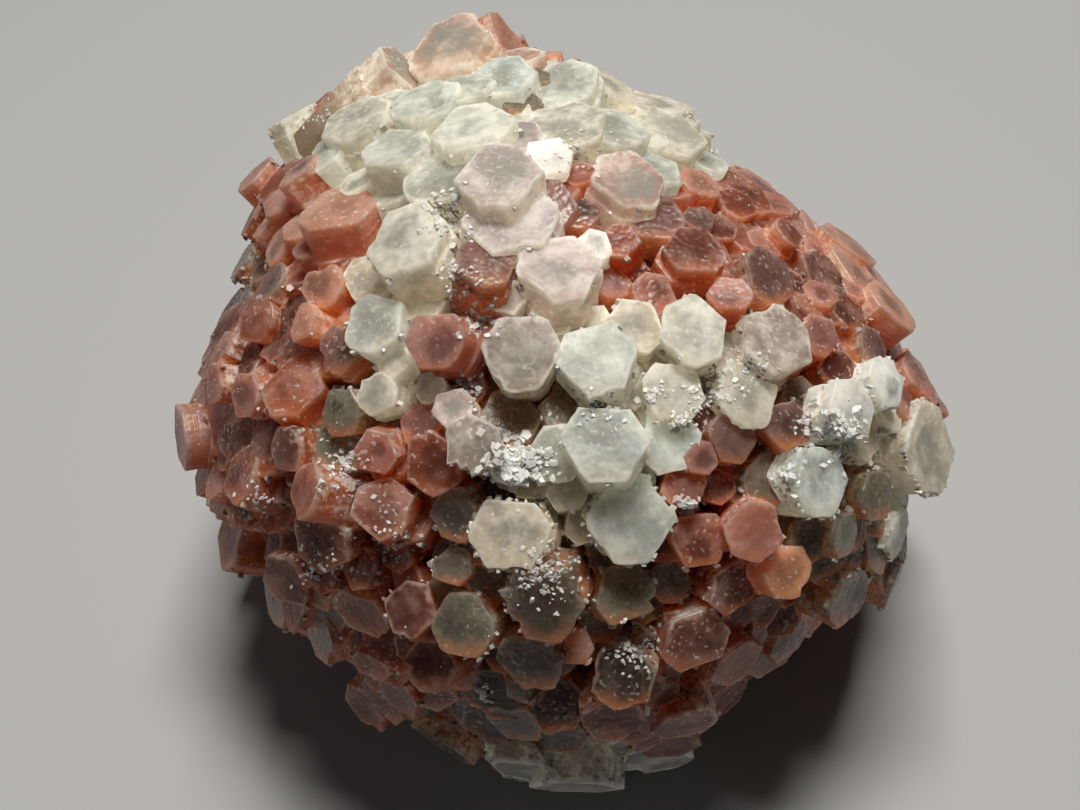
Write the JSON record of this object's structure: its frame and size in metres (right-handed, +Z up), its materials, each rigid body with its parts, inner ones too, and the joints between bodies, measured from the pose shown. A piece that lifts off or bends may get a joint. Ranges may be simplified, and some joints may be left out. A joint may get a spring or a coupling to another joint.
{
  "type": "aragonite cluster",
  "caption": "Ball-shaped mineral specimen of intergrown six-sided aragonite crystals radiating from one centre, cut off flat below so that it rests on a shelf",
  "frame": {"origin": "bottom centre of the bounding box, on the plane of the flat that the cluster rests on", "axes": "+Z up, +X to the viewer's right, -Y toward the viewer, who looks about 50 degrees down"},
  "size_m": [0.0742, 0.0722, 0.0642],
  "materials": {
    "aragonite": "frosted glassy crystal faces, from greenish white through lilac and peach to rust"
  },
  "bodies": {
    "root": {"crystal_cluster": "aragonite"}
  },
  "joints": []
}
